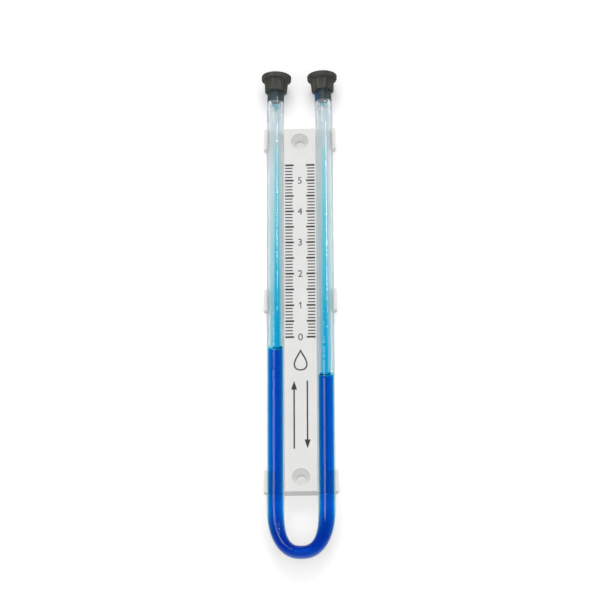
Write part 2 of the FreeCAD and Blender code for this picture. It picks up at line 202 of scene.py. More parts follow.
def ring(station, radius, inset=0.0):
    """The points round one station, its radius and a distance taken off it"""
    centre, outward, front, flat, wide = station
    points = []
    for i in range(ROUND_STEPS):
        angle = math.tau * i / ROUND_STEPS
        in_plane = (radius * flat - inset) * math.cos(angle)
        in_depth = (TUBE_R * wide - (TUBE_R - radius) - inset) * math.sin(angle)
        points.append(centre + outward * in_plane + front * in_depth)
    return points


# Materials

PLATE_WHITE = (0.83, 0.83, 0.815)
PLATE_SHADE = (0.80, 0.80, 0.785)
PLATE_ROUGH = 0.55
INK_DARK = (0.028, 0.028, 0.028)
INK_PALE = (0.075, 0.075, 0.073)
RUBBER_DARK = (0.036, 0.038, 0.032)
RUBBER_PALE = (0.100, 0.101, 0.088)
WET_DARK = (0.040, 0.062, 0.074)
WET_PALE = (0.085, 0.115, 0.125)
# Blue of the oil pressed beside a plug: the hue is the oil's own, the brightness is painted light for light
# coming in at its edge
PRESSED_DARK = (0.0, 0.09, 0.46)
PRESSED_PALE = (0.0, 0.15, 0.62)
TUBE_TINT = (0.76, 0.83, 0.86)
TUBE_IOR = 1.64
OIL_IOR = 1.46

# Per metre, the oil absorbs each colour by this number times what the tint lacks of white
OIL_ABSORBS = 4000.0
OIL_TINT = (0.0, 0.873, 0.978)

# Both are lower than the oil's own: at that one, the oil's surface shows as a black line in the tube
OIL_TOP_IOR = 1.04
SMEAR_IOR = 1.1

# Share of light that gets through each side of the tube, less in the bend, which throws a fuller shadow,
# and the heights from the top of the bend between which it changes
TUBE_SHADE = 1.0
BEND_SHADE = 0.62
SHADE_FROM = -4.0
SHADE_TO = 2.0

# Waves in the outside of the tube, which grow to their full strength over a length above the bend
WAVES_GROW = 30.0
WAVE_STRENGTH = 0.3

# Heights between which the film of oil fades, how milky and uneven it is, and its colour from foot to top
FILM_FOOT = -22.0
FILM_TOP = 100.0
FILM_HAZE = 0.36
FILM_UNEVEN = 0.36
FILM_STOPS = [
    (0.15, (0.27, 0.72, 0.88)),
    (0.42, (0.50, 0.84, 0.92)),
    (0.75, (0.70, 0.93, 0.97)),
    (1.0, (0.93, 0.98, 1.0)),
]
STREAK_STOPS = [
    (0.15, (0.0, 0.68, 1.0)),
    (0.38, (0.0, 0.72, 1.0)),
    (0.54, (0.15, 0.81, 1.0)),
    (0.8, (0.34, 0.88, 1.0)),
    (0.98, (0.48, 0.92, 1.0)),
    (1.0, (0.92, 0.98, 1.0)),
]

# Middle and half width of the streak of fuller film on each side, the share of it that is flat, and how
# many times narrower it is at its foot and at its top
STREAK_AT = {-1: 0.6, 1: -0.2}
STREAK_HALF = {-1: 1.8, 1: 1.35}
STREAK_FLAT = 0.42
STREAK_FOOT = 0.95
STREAK_NARROWS = 2.1

# Length of bore below each tube's straight end that has no film of oil, and how milky it is
BARE_END = 4.4
BARE_HAZE = 0.2


def new_material(name):
    """A new material, its tree and its shader"""
    material = bpy.data.materials.new(name)
    material.use_nodes = True
    tree = material.node_tree
    shader = tree.nodes["Principled BSDF"]
    return material, tree, shader


def object_noise(tree, scale, detail=2.0, stretch=(1, 1, 1)):
    """Noise over the object, scaled per metre"""
    place = tree.nodes.new("ShaderNodeTexCoord")
    squeeze = tree.nodes.new("ShaderNodeMapping")
    squeeze.inputs["Scale"].default_value = stretch
    texture = tree.nodes.new("ShaderNodeTexNoise")
    texture.inputs["Scale"].default_value = scale
    texture.inputs["Detail"].default_value = detail
    tree.links.new(place.outputs["Object"], squeeze.inputs["Vector"])
    tree.links.new(squeeze.outputs["Vector"], texture.inputs["Vector"])
    return texture


def ramp(tree, source, stops):
    """A colour ramp from (position, colour) pairs"""
    node = tree.nodes.new("ShaderNodeValToRGB")
    elements = node.color_ramp.elements
    for index in (0, -1):
        elements[index].position = stops[index][0]
        elements[index].color = (*stops[index][1], 1)
    for position, colour in stops[1:-1]:
        elements.new(position).color = (*colour, 1)
    tree.links.new(source, node.inputs["Fac"])
    return node.outputs["Color"]


def feed(tree, value, socket):
    """Gives a socket a number or the output of another node"""
    if isinstance(value, (int, float)):
        socket.default_value = value
    else:
        tree.links.new(value, socket)


def math_node(tree, operation, first, second=0.0, clamp=False):
    """The result of one sum on two values, each a number or the output of another node"""
    node = tree.nodes.new("ShaderNodeMath")
    node.operation = operation
    node.use_clamp = clamp
    feed(tree, first, node.inputs[0])
    feed(tree, second, node.inputs[1])
    return node.outputs[0]


def map_range(tree, value, ends, results, smooth=False):
    """A value between two ends, turned into one between two results"""
    node = tree.nodes.new("ShaderNodeMapRange")
    if smooth:
        node.interpolation_type = "SMOOTHSTEP"
    for side, end, result in zip(("Min", "Max"), ends, results):
        node.inputs[f"From {side}"].default_value = end
        node.inputs[f"To {side}"].default_value = result
    tree.links.new(value, node.inputs["Value"])
    return node.outputs["Result"]


def axes(tree, kind="Object"):
    """The X, Y and Z of a point on the object in metres, or of a direction in the world"""
    place = tree.nodes.new("ShaderNodeTexCoord")
    parts = tree.nodes.new("ShaderNodeSeparateXYZ")
    tree.links.new(place.outputs[kind], parts.inputs[0])
    return parts.outputs


def mix_shaders(tree, factor, first, second):
    """A mix of two shaders: the first at 0, the second at 1"""
    mix = tree.nodes.new("ShaderNodeMixShader")
    tree.links.new(factor, mix.inputs["Fac"])
    tree.links.new(first, mix.inputs[1])
    tree.links.new(second, mix.inputs[2])
    return mix.outputs["Shader"]


def bump(tree, shader, height, distance, strength=1.0):
    """Relief on a shader from a height"""
    node = tree.nodes.new("ShaderNodeBump")
    node.inputs["Distance"].default_value = distance
    node.inputs["Strength"].default_value = strength
    tree.links.new(height, node.inputs["Height"])
    tree.links.new(node.outputs["Normal"], shader.inputs["Normal"])


def matt_plastic(name, pale, shade, rough):
    """White moulded plastic with a fine matt skin"""
    material, tree, shader = new_material(name)
    mottle = object_noise(tree, scale=90, detail=3)
    colour = ramp(tree, mottle.outputs["Fac"], [(0.35, shade), (0.65, pale)])
    tree.links.new(colour, shader.inputs["Base Color"])
    sheen = object_noise(tree, scale=320, detail=2)
    spread = ramp(tree, sheen.outputs["Fac"], [(0.3, (rough - 0.06,) * 3), (0.7, (rough + 0.06,) * 3)])
    tree.links.new(spread, shader.inputs["Roughness"])
    shader.inputs["Specular IOR Level"].default_value = 0.35
    grain = object_noise(tree, scale=2600, detail=2)
    bump(tree, shader, grain.outputs["Fac"], distance=0.00004, strength=0.5)
    return material


def printed_ink(name):
    """Black ink, a little thin in places"""
    material, tree, shader = new_material(name)
    wear = object_noise(tree, scale=1400, detail=3)
    colour = ramp(tree, wear.outputs["Fac"], [(0.3, INK_DARK), (0.72, INK_PALE)])
    tree.links.new(colour, shader.inputs["Base Color"])
    shader.inputs["Roughness"].default_value = 0.6
    return material


def moulded_rubber(name, dark, pale):
    """Rubber with faint streaks down its sides"""
    material, tree, shader = new_material(name)
    streak = object_noise(tree, scale=900, detail=4, stretch=(1, 1, 0.12))
    colour = ramp(tree, streak.outputs["Fac"], [(0.3, dark), (0.7, pale)])
    tree.links.new(colour, shader.inputs["Base Color"])
    grain = object_noise(tree, scale=3200, detail=2)
    spread = ramp(tree, grain.outputs["Fac"], [(0.3, (0.42,) * 3), (0.7, (0.58,) * 3)])
    tree.links.new(spread, shader.inputs["Roughness"])
    bump(tree, shader, grain.outputs["Fac"], distance=0.00005, strength=0.6)
    return material


def clear(name, ior, colour=(1, 1, 1), density=0.0, tint=(1, 1, 1), shade=1.0):
    """Glassy material: shadow and diffuse rays go straight through it, and a density makes it absorb light"""
    material, tree, shader = new_material(name)
    shader.inputs["Base Color"].default_value = (*colour, 1)
    shader.inputs["Transmission Weight"].default_value = 1.0
    shader.inputs["IOR"].default_value = ior
    shader.inputs["Roughness"].default_value = 0.0
    output = tree.nodes["Material Output"]
    rays = tree.nodes.new("ShaderNodeLightPath")
    pass_light = tree.nodes.new("ShaderNodeBsdfTransparent")
    pass_light.inputs["Color"].default_value = (shade, shade, shade, 1)
    surface = shader.outputs["BSDF"]
    for kind in ("Is Shadow Ray", "Is Diffuse Ray"):
        surface = mix_shaders(tree, rays.outputs[kind], surface, pass_light.outputs["BSDF"])
    tree.links.new(surface, output.inputs["Surface"])
    if density:
        absorb = tree.nodes.new("ShaderNodeVolumeAbsorption")
        absorb.inputs["Color"].default_value = (*tint, 1)
        absorb.inputs["Density"].default_value = density
        tree.links.new(absorb.outputs["Volume"], output.inputs["Volume"])
    return material


def by_height(tree, low, high, at_low, at_high):
    """A value that goes from one number to another between two heights in millimetres"""
    return map_range(tree, axes(tree)["Z"], (low * MM, high * MM), (at_low, at_high))


def ripples(material, scale, distance, stretch):
    """Faint waves in a clear surface, none in the bend"""
    tree = material.node_tree
    texture = object_noise(tree, scale, detail=2, stretch=stretch)
    bump(tree, tree.nodes["Principled BSDF"], texture.outputs["Fac"], distance, WAVE_STRENGTH)
    strength = by_height(tree, BEND_TOP, BEND_TOP + WAVES_GROW, 0.0, WAVE_STRENGTH)
    tree.links.new(strength, tree.nodes["Bump"].inputs["Strength"])


def streak_share(tree, place, height):
    """How much of the film's streak is at a place: 1 in its middle, 0 beside it, and less wide higher up"""
    on_right = math_node(tree, "GREATER_THAN", place["X"], 0.0)
    middles = ((STREAK_AT[-1] - HALF_PITCH) * MM, (STREAK_AT[1] + HALF_PITCH) * MM)
    middle = map_range(tree, on_right, (0, 1), middles)
    away = math_node(tree, "SUBTRACT", place["X"], middle)
    distance = math_node(tree, "ABSOLUTE", away)
    widths = (1.0, STREAK_HALF[-1] / STREAK_HALF[1])
    by_side = math_node(tree, "MULTIPLY", distance, map_range(tree, on_right, (0, 1), widths))
    tapers = map_range(tree, height, (0, 1), (STREAK_FOOT, STREAK_NARROWS))
    tapered = math_node(tree, "MULTIPLY", by_side, tapers)
    edges = (STREAK_HALF[-1] * STREAK_FLAT * MM, STREAK_HALF[-1] * MM)
    return map_range(tree, tapered, edges, (1, 0), smooth=True)


def oily_bore(name):
    """The bore above the oil, with a film of oil that fades upwards and a fuller streak down the middle"""
    material = clear(name, TUBE_IOR)
    tree = material.node_tree
    shader = tree.nodes["Principled BSDF"]
    shader.inputs["Transmission Weight"].default_value = 1 - FILM_HAZE
    place = axes(tree)
    height = map_range(tree, place["Z"], (FILM_FOOT * MM, FILM_TOP * MM), (0, 1))
    smear = object_noise(tree, scale=500, detail=3, stretch=(1, 1, 0.10))
    uneven = math_node(tree, "MULTIPLY", smear.outputs["Fac"], FILM_UNEVEN)
    faded = math_node(tree, "ADD", uneven, height)
    blend = tree.nodes.new("ShaderNodeMix")
    blend.data_type = "RGBA"
    tree.links.new(streak_share(tree, place, height), blend.inputs["Factor"])
    tree.links.new(ramp(tree, faded, FILM_STOPS), blend.inputs[6])
    tree.links.new(ramp(tree, faded, STREAK_STOPS), blend.inputs[7])
    tree.links.new(blend.outputs[2], shader.inputs["Base Color"])
    beads = object_noise(tree, scale=400, detail=1, stretch=(0.25, 0.25, 1))
    bump(tree, shader, beads.outputs["Fac"], distance=0.0004, strength=0.5)
    return material


def squeezed_oil(name):
    """Oil pressed flat between a plug and the bore, opaque blue: its hue is the oil's own, its brightness is
    painted light standing in for light that comes in at its edge
    """
    material, tree, shader = new_material(name)
    patches = object_noise(tree, scale=1500, detail=2)
    colour = ramp(tree, patches.outputs["Fac"], [(0.35, PRESSED_DARK), (0.65, PRESSED_PALE)])
    tree.links.new(colour, shader.inputs["Base Color"])
    shader.inputs["Roughness"].default_value = 0.3
    return material


plate_plastic = matt_plastic("plate plastic", PLATE_WHITE, PLATE_SHADE, PLATE_ROUGH)
ink = printed_ink("printed ink")
rubber = moulded_rubber("cap rubber", RUBBER_DARK, RUBBER_PALE)
wet_rubber = moulded_rubber("cap rubber wetted by oil", WET_DARK, WET_PALE)
tube_clear = clear("clear vinyl", TUBE_IOR, colour=TUBE_TINT, shade=TUBE_SHADE)
ripples(tube_clear, scale=400, distance=0.0002, stretch=(0.2, 0.2, 1))
tube_tree = tube_clear.node_tree
light_past = by_height(tube_tree, BEND_TOP + SHADE_FROM, BEND_TOP + SHADE_TO, BEND_SHADE, TUBE_SHADE)
tube_tree.links.new(light_past, tube_tree.nodes["Transparent BSDF"].inputs["Color"])
tube_filmed = oily_bore("clear vinyl with a film of oil")
tube_wetted = clear("clear vinyl wetted by oil", TUBE_IOR / OIL_IOR)
tube_bare = clear("clear vinyl under a plug", TUBE_IOR)
tube_bare.node_tree.nodes["Principled BSDF"].inputs["Transmission Weight"].default_value = 1 - BARE_HAZE
oil_body = clear("blue gauge oil", 1.0, density=OIL_ABSORBS, tint=OIL_TINT)
oil_surface = clear("oil surface", OIL_TOP_IOR)
oil_drop = clear("blue oil drops", OIL_IOR, density=OIL_ABSORBS, tint=OIL_TINT)
oil_smear = clear("blue oil under the plugs", SMEAR_IOR, density=OIL_ABSORBS, tint=OIL_TINT)
oil_pressed = squeezed_oil("blue oil beside a plug")

# The plate and its ticks keep the shapes of the part's source
for node, material in (("scale_plate", plate_plastic), ("scale_graduations", ink)):
    nodes[node].data.materials.clear()
    nodes[node].data.materials.append(material)


# Clear tube, whose bore has other materials where oil wets it, where a film covers it and where it is bare

def make_tube():
    """The tube as one closed wall: outside, bore and the two cut ends"""
    contact = {side: LEVEL[side] + MENISCUS for side in (-1, 1)}
    left_up = list(reversed(leg_above(-1, contact[-1])))
    under = below(contact[-1], contact[1])
    right_up = leg_above(1, contact[1])
    stations = left_up[:-1] + under + right_up[1:]
    wet_from = len(left_up) - 1
    wet_to = wet_from + len(under) - 1
    points = [p for station in stations for p in ring(station, TUBE_R)]
    points += [p for station in stations for p in ring(station, BORE_R)]
    count = len(stations)
    faces = tube_faces(count, ROUND_STEPS) + tube_faces(count, ROUND_STEPS, count * ROUND_STEPS)
    bore_start = (count - 1) * ROUND_STEPS
    for end in (0, count - 1):
        outer = end * ROUND_STEPS
        inner = (count + end) * ROUND_STEPS
        for i in range(ROUND_STEPS):
            j = (i + 1) % ROUND_STEPS
            faces.append((outer + i, outer + j, inner + j, inner + i))
    mesh = mesh_from("tube_wall", points, faces)
    bare_from = PLATE_TOP + FREE_CURVE - BARE_END
    for material in (tube_clear, tube_wetted, tube_filmed, tube_bare):
        mesh.materials.append(material)
    for index, face in enumerate(mesh.polygons):
        station = (index - bore_start) // ROUND_STEPS
        if bore_start <= index < 2 * bore_start:
            face.material_index = 1 if wet_from <= station < wet_to else 2
            if stations[station][0].z > bare_from:
                face.material_index = 3
    item = new_object("tube_wall", mesh, None)
    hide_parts("tube")


# Blue oil up to its two hollow surfaces

def bowl(side, rim_r, drop, rings=10):
    """The points of a hollow oil surface, from its rim down to its middle, and the height of its rim"""
    sphere = (rim_r ** 2 + MENISCUS ** 2) / (2 * MENISCUS)
    points = []
    for step in range(1, rings):
        radius = rim_r * (1 - step / rings)
        height = LEVEL[side] + sphere - math.sqrt(sphere ** 2 - radius ** 2) - drop
        for i in range(ROUND_STEPS):
            angle = math.tau * i / ROUND_STEPS
            x = side * (HALF_PITCH + radius * math.cos(angle))
            points.append(Vector((x, TUBE_Y - radius * math.sin(angle), height)))
    points.append(Vector((side * HALF_PITCH, TUBE_Y, LEVEL[side] - drop)))
    return points


def bowl_faces(start, first_ring, rings=10):
    """The faces of a hollow surface whose rim is the ring that starts at first_ring"""
    faces = []
    previous = first_ring
    for step in range(rings - 1):
        current = start + step * ROUND_STEPS
        for i in range(ROUND_STEPS):
            j = (i + 1) % ROUND_STEPS
            faces.append((previous + i, previous + j, current + j, current + i))
        previous = current
    middle = start + (rings - 1) * ROUND_STEPS
    for i in range(ROUND_STEPS):
        faces.append((previous + i, previous + (i + 1) % ROUND_STEPS, middle))
    return faces


def make_oil():
    """The oil column, closed by its two hollow surfaces"""
    tops = {side: LEVEL[side] + MENISCUS - OIL_SKIN for side in (-1, 1)}
    stations = below(tops[-1], tops[1])
    points = [p for station in stations for p in ring(station, BORE_R, OIL_SKIN)]
    faces = tube_faces(len(stations), ROUND_STEPS)
    for side, rim in ((-1, 0), (1, (len(stations) - 1) * ROUND_STEPS)):
        start = len(points)
        points += bowl(side, BORE_R - OIL_SKIN, OIL_SKIN)
        faces += bowl_faces(start, rim)
    item = new_object("gauge_oil", mesh_from("gauge_oil", points, faces), oil_body)
    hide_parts("indicator_fluid")
    hide_from_light(item)


def make_oil_surface(side, name):
    """The shiny top of the oil in one leg, facing up"""
    rim = ring(leg_station(side, LEVEL[side] + MENISCUS), BORE_R)
    points = rim + bowl(side, BORE_R, 0)
    mesh = mesh_from(name, points, bowl_faces(ROUND_STEPS, 0))
    if sum(face.normal.z for face in mesh.polygons) < 0:
        mesh.flip_normals()
    new_object(name, mesh, oil_surface)


make_tube()
make_oil()
make_oil_surface(-1, "oil_surface_left")
make_oil_surface(1, "oil_surface_right")


# Caps: a flange, a skirt round the tube and a plug in its bore

def arc(centre, radius, start, stop, steps=6):
    """Points of a rounded corner in the cap's section, as (radius, height)"""
    points = []
    for i in range(steps + 1):
        angle = math.radians(start + (stop - start) * i / steps)
        points.append((centre[0] + radius * math.cos(angle), centre[1] + radius * math.sin(angle)))
    return points


def cap_section():
    """The section of a cap from the middle of its top round to the middle of its plug; 0 is the plug's end"""
    skirt_foot = PLUG_REACH
    under = skirt_foot + SKIRT_DEPTH
    top = under + FLANGE_DEPTH
    ceiling = under - 0.04
    plug_r = BORE_R + PRESS
    lip = 0.35
    mouth = 0.25
    fillet = 0.3
    groove = 0.16
    waist = (top + under) / 2 - 0.15
    rise = (SKIRT_R - SKIRT_END_R) / SKIRT_DEPTH
    section = [(0, top - 0.12), (FLANGE_R * 0.62, top - 0.08)]
    section += arc((FLANGE_R - RIM_ROUND, top - RIM_ROUND), RIM_ROUND, 90, 0)
    section += [(FLANGE_R - groove * 0.3, waist + 0.45), (FLANGE_R - groove, waist + 0.2)]
    section += [(FLANGE_R - groove, waist - 0.1), (FLANGE_R - groove * 0.5, waist - 0.3)]
    section += arc((FLANGE_R - FLANGE_ROUND - groove * 0.3, under + FLANGE_ROUND), FLANGE_ROUND, 0, -90)
    section += arc((SKIRT_R + fillet, under - fillet), fillet, 90, 180, 3)
    section += [(SKIRT_R - rise * 1.8, under - 1.8), (SKIRT_END_R + rise * 1.2, skirt_foot + 1.2)]
    section += arc((SKIRT_END_R - lip + 0.02, skirt_foot + lip), lip, 0, -90, 4)
    section += arc((SKIRT_BORE_R + mouth, skirt_foot + mouth), mouth, -90, -180, 3)
    section += [(SKIRT_BORE_R, skirt_foot + 2.4), (SKIRT_BORE_R, ceiling), (plug_r + 0.3, ceiling)]
    section += [(plug_r, under - 0.6), (plug_r, skirt_foot), (plug_r, PLUG_ROUND + 1.2)]
    section += arc((plug_r - PLUG_ROUND, PLUG_ROUND), PLUG_ROUND, 0, -90, 5)
    section += [(plug_r * 0.4, 0.0), (0, 0.0)]
    return section


def make_cap(node, side):
    """One rubber cap, turned from its section and leaning with the tube's end; oil has wetted its plug"""
    foot, turn = end_frame(side)
    section = cap_section()
    steps = 96
    points = []
    for radius, height in section[1:-1]:
        for i in range(steps):
            angle = math.tau * i / steps
            local = Vector((radius * math.cos(angle), radius * math.sin(angle), height + END_GAP))
            points.append(foot + turn @ local)
    faces = tube_faces(len(section) - 2, steps)
    last = len(points) - steps
    points.append(foot + turn @ Vector((0, 0, section[0][1] + END_GAP)))
    points.append(foot + turn @ Vector((0, 0, section[-1][1] + END_GAP)))
    for i in range(steps):
        j = (i + 1) % steps
        faces.append((j, i, len(points) - 2))
        faces.append((last + i, last + j, len(points) - 1))
    item = new_object(f"{node}_rubber", mesh_from(f"{node}_rubber", points, faces), rubber)
    item.data.materials.append(wet_rubber)
    for face in item.data.polygons:
        corners = [turn.inverted() @ (item.data.vertices[i].co / MM - foot) for i in face.vertices]
        reach = max(math.hypot(corner.x, corner.y) for corner in corners)
        height = max(corner.z for corner in corners)
        if reach < BORE_R + 0.1 and height < PLUG_REACH + SKIRT_DEPTH:
            face.material_index = 1
    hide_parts(node)


make_cap("left_cap", -1)
make_cap("right_cap", 1)


# Print on the face: the numbers, a plain drop and two plain arrows

PRINT_DEPTH = 0.04
DIGIT_SIZE = 4.7
ARROW_X = 3.0
ARROW_TOP = -36.0
ARROW_FOOT = -68.0
SHAFT_HALF = 0.32
HEAD_HALF = 1.35
HEAD_LENGTH = 4.2


def make_number(value):
    """One number of the scale, centred on its line"""
    letters = bpy.data.curves.new(f"number_{value}", "FONT")
    letters.body = str(value)
    letters.size = DIGIT_SIZE
    letters.extrude = PRINT_DEPTH / 2
    letters.align_x = "CENTER"
    holder = bpy.data.objects.new(f"number_{value}_text", letters)
    bpy.context.scene.collection.objects.link(holder)
    mesh = bpy.data.meshes.new_from_object(holder)
    bpy.data.objects.remove(holder)
    middle = (max(v.co.y for v in mesh.vertices) + min(v.co.y for v in mesh.vertices)) / 2
    height = SCALE_ZERO + SCALE_UNIT * value
    for vertex in mesh.vertices:
        x, y, z = vertex.co
        vertex.co = (x * MM, (FACE_Y - PRINT_DEPTH / 2 - z) * MM, (height + y - middle) * MM)
    new_object(f"number_{value}", mesh, ink)


def flat_print(name, outlines):
    """Closed outlines on the face, each a list of (x, z) in millimetres going round"""
    points, faces = [], []
    for outline in outlines:
        count = len(outline)
        start = len(points)
        points += [(x, FACE_Y - PRINT_DEPTH, z) for x, z in outline]
        points += [(x, FACE_Y, z) for x, z in outline]
        faces.append(tuple(range(start, start + count)))
        faces.append(tuple(reversed(range(start + count, start + 2 * count))))
        for i in range(count):
            j = (i + 1) % count
            faces.append((start + i, start + count + i, start + count + j, start + j))
    new_object(name, mesh_from(name, points, faces, smooth=False), ink)


def band(outer, inner):
    """The strip between two outlines with the same number of points, as quads"""
    count = len(outer)
    strips = []
    for i in range(count):
        j = (i + 1) % count
        strips.append([outer[i], outer[j], inner[j], inner[i]])
    return strips


def drop_outline(centre_z, half_width, tip, steps=40, taper=1.6):
    """A water drop: a round belly that runs up to a point"""
    points = []
    for i in range(steps):
        angle = math.tau * i / steps
        x = half_width * math.sin(angle) * math.sin(angle / 2) ** taper
        z = centre_z + tip * math.cos(angle)
        points.append((x, z))
    return points


def arrow(x, tail_z, tip_z):
    """A slim arrow from its tail to its tip"""
    way = 1 if tip_z > tail_z else -1
    neck = tip_z - way * HEAD_LENGTH
    left = [(x - SHAFT_HALF, tail_z), (x - SHAFT_HALF, neck), (x - HEAD_HALF, neck)]
    right = [(x + HEAD_HALF, neck), (x + SHAFT_HALF, neck), (x + SHAFT_HALF, tail_z)]
    return left + [(x, tip_z)] + right


def make_one():
    """The number 1: an upright with a flag"""
    tall, stroke, reach, fall = 3.2, 0.40, 1.0, 0.85
    middle = SCALE_ZERO + SCALE_UNIT
    left, right, top = 0.0, stroke, middle + tall / 2
    outline = [(left, top - tall), (right, top - tall), (right, top), (left, top)]
    outline += [(left - reach + stroke, top - fall), (left - reach + stroke, top - fall - stroke * 1.3)]
    outline += [(left, top - stroke * 1.5)]
    flat_print("number_1", [outline])


make_one()
for value in (0, 2, 3, 4, 5):
    make_number(value)
outer_drop = drop_outline(centre_z=-26.0, half_width=4.6, tip=5.2)
inner_drop = drop_outline(centre_z=-26.4, half_width=3.7, tip=4.2)
flat_print("drop_symbol", band(outer_drop, inner_drop))
up_arrow = arrow(-ARROW_X, ARROW_FOOT, ARROW_TOP)
down_arrow = arrow(ARROW_X, ARROW_TOP, ARROW_FOOT)
flat_print("level_arrows", [up_arrow, down_arrow])


# Oil left on the bore above its surface: a thin run along the back, thinner towards the top

# Height at which each run ends, its thickness at the foot and the top, and how fast it thins
RUN_TOP = {-1: 99.0, 1: 100.0}
RUN_THICK = 0.9
RUN_THIN = 0.05
RUN_FADES = 32.0

# Degrees: half the angle that a run covers, how much that grows to the top, and how far its edges wander
RUN_HALF_ANGLE = 36
RUN_WIDENS = 10
RUN_WANDERS = 6


def oil_trace(name, points, rings, material):
    """A closed piece of oil from rings of points that follow each other"""
    count = len(points) // rings
    faces = tube_faces(rings, count)
    faces.append(tuple(range(count)))
    faces.append(tuple(range(len(points) - count, len(points))))
    item = new_object(name, mesh_from(name, points, faces), material)
    hide_from_light(item)


def bore_point(centre, sideways, front, angle, radius):
    """A point of the bore, where angle 0 is its back and a quarter turn is its right side"""
    return centre + (sideways * math.sin(angle) - front * math.cos(angle)) * radius


def make_run(side, name):
    """A run of oil on the bore's back wall behind the streak, from the oil's surface upwards"""
    radius = BORE_R - TRACE_GAP
    low = LEVEL[side] + MENISCUS * 0.6
    steps, across = 110, 20
    turn = math.asin(STREAK_AT[side] / radius)
    points = []
    for i in range(steps + 1):
        share = i / steps
        z = low + (RUN_TOP[side] - low) * share
        if z <= PLATE_TOP:
            station = leg_station(side, z)
        else:
            station = free_station(side, (z - PLATE_TOP) / FREE_CURVE)
        centre, _, front = station[:3]
        sideways = Vector((1, 0, 0)) - front * front.x
        ripple = noise.noise(Vector((side * 7.3, 0, z * 0.16)))
        beads = noise.noise(Vector((side * 3.1, 5.0, z * 0.55)))
        thick = RUN_THICK * math.exp(-(z - low - 6) / RUN_FADES) + RUN_THIN
        thick *= 1 + 0.15 * ripple + 0.45 * share * beads
        thick = min(thick, RUN_THICK) * min(1.0, (steps - i) / 3 + 0.02)
        half = math.radians(RUN_HALF_ANGLE + RUN_WIDENS * share + RUN_WANDERS * ripple)
        middle = turn + 0.10 * noise.noise(Vector((side, 9.0, z * 0.05)))
        for j in range(across + 1):
            angle = middle - half + 2 * half * j / across
            points.append(bore_point(centre, sideways, front, angle, radius))
        for j in range(across - 1, 0, -1):
            angle = middle - half + 2 * half * j / across
            crown = math.sin(math.pi * j / across) ** 0.45
            points.append(bore_point(centre, sideways, front, angle, radius - thick * crown))
    oil_trace(name, points, steps + 1, oil_drop)


make_run(-1, "oil_run_left")
make_run(1, "oil_run_right")


def bore_patch(side, name, low, high, middle, half_angle, thick, radius, material):
    """A patch of oil on the bore of a free end, between two heights above the plate's top

    Its middle is an angle. Half its angle and its thickness are functions of the share of its height.
    """
    steps, across = 24, 14
    points = []
    for i in range(steps + 1):
        share = i / steps
        height = low + (high - low) * share
        if height <= FREE_CURVE:
            station = free_station(side, height / FREE_CURVE)
        else:
            station = end_station(side, height - FREE_CURVE)
        centre, outward, front = station[:3]
        half = math.radians(half_angle(share))
        for j in range(2 * across):
            back = j > across
            step = j if not back else 2 * across - j
            angle = math.radians(middle) - half + 2 * half * step / across
            crown = math.sin(math.pi * step / across) ** 0.5 if back else 0
            points.append(bore_point(centre, outward * side, front, angle, radius - thick(share) * crown))
    oil_trace(name, points, steps + 1, material)


# A drop hangs from each plug and runs to a point: its side, name, length and how wide it gets, in degrees
PLUG_END = FREE_CURVE + END_GAP
DROPS = ((-1, "oil_drop_left", 4.8, 58), (1, "oil_drop_right", 2.2, 68))
for side, name, length, width in DROPS:
    bore_patch(
        side, name, low=PLUG_END - length, high=PLUG_END - TRACE_GAP, middle=0,
        half_angle=lambda share, width=width: 4 + width * share ** 1.4,
        thick=lambda share: 0.2 + 0.5 * share,
        radius=BORE_R - TRACE_GAP, material=oil_smear,
    )

# Oil squeezed between the right plug and the bore, set just inside the tube's wall so that it shows, in an
# opaque blue whose brightness is painted light
bore_patch(
    1, "oil_beside_plug", low=PLUG_END + 0.1, high=PLUG_END + 4.6, middle=-100,
    half_angle=lambda share: 12 + 14 * math.sin(math.pi * share),
    thick=lambda share: -0.12,
    radius=BORE_R + PRESS + TRACE_GAP, material=oil_pressed,
)


# Wall and floor: white to the eye, with the object's soft shadow

WALL_Y = 0.0004
WALL_TOP = 3
FLOOR_Z = -0.62
FLOOR_FRONT = -4
STAGE_HALF = 3
STAGE_WHITE = 0.97
STAGE_GLOW = 0.155


def stage_white(name):
    """Matt white with a faint glow, there for camera, glossy and transmission rays and on its front only"""
    material, tree, shader = new_material(name)
    tree.nodes.remove(shader)
    paint = tree.nodes.new("ShaderNodeBsdfDiffuse")
    paint.inputs["Color"].default_value = (STAGE_WHITE, STAGE_WHITE, STAGE_WHITE, 1)
    glow = tree.nodes.new("ShaderNodeEmission")
    glow.inputs["Strength"].default_value = STAGE_GLOW
    both = tree.nodes.new("ShaderNodeAddShader")
    tree.links.new(paint.outputs["BSDF"], both.inputs[0])
    tree.links.new(glow.outputs["Emission"], both.inputs[1])
    empty = tree.nodes.new("ShaderNodeBsdfTransparent")
    rays = tree.nodes.new("ShaderNodeLightPath").outputs
    back = tree.nodes.new("ShaderNodeNewGeometry").outputs["Backfacing"]
    direct = math_node(tree, "MAXIMUM", rays["Is Camera Ray"], rays["Is Glossy Ray"])
    seen = math_node(tree, "MAXIMUM", direct, rays["Is Transmission Ray"])
    shown = math_node(tree, "SUBTRACT", seen, back, clamp=True)
    surface = mix_shaders(tree, shown, empty.outputs["BSDF"], both.outputs["Shader"])
    tree.links.new(surface, tree.nodes["Material Output"].inputs["Surface"])
    return material


def stage_plane(name, corners):
    """A flat piece of the set, left out of mirrors"""
    mesh = bpy.data.meshes.new(name)
    mesh.from_pydata(corners, [], [(0, 1, 2, 3)])
    item = bpy.data.objects.new(name, mesh)
    bpy.context.scene.collection.objects.link(item)
    item.data.materials.append(stage_white(f"{name} paint"))
    item.visible_glossy = False


